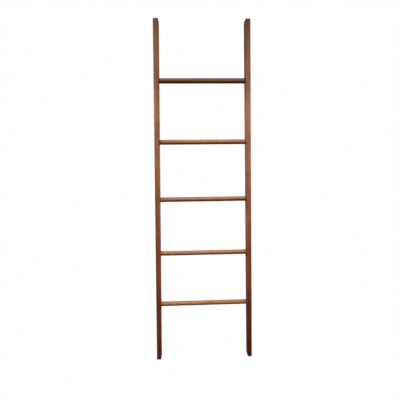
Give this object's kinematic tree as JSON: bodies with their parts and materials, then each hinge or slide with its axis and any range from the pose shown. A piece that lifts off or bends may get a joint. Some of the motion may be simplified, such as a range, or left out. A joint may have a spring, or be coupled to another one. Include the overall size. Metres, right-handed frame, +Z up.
{
  "type": "blanket ladder",
  "caption": "Leaning blanket ladder of stained wood: flat rails, slightly wider apart at the floor, with round rungs glued into blind sockets.",
  "frame": {"origin": "on the floor, midway between the two feet and between the rails' front and rear faces", "axes": "+Z up along the ladder, +X across it towards the right rail seen from the front, +Y towards the wall that it leans on"},
  "size_m": [0.467, 0.038, 1.524],
  "materials": {
    "stained_wood": "walnut-brown stain under a thin satin coat, straight grain along each piece"
  },
  "bodies": {
    "root": {"left_rail": "stained_wood", "right_rail": "stained_wood", "rung_1": "stained_wood", "rung_2": "stained_wood", "rung_3": "stained_wood", "rung_4": "stained_wood", "rung_5": "stained_wood"}
  },
  "joints": []
}
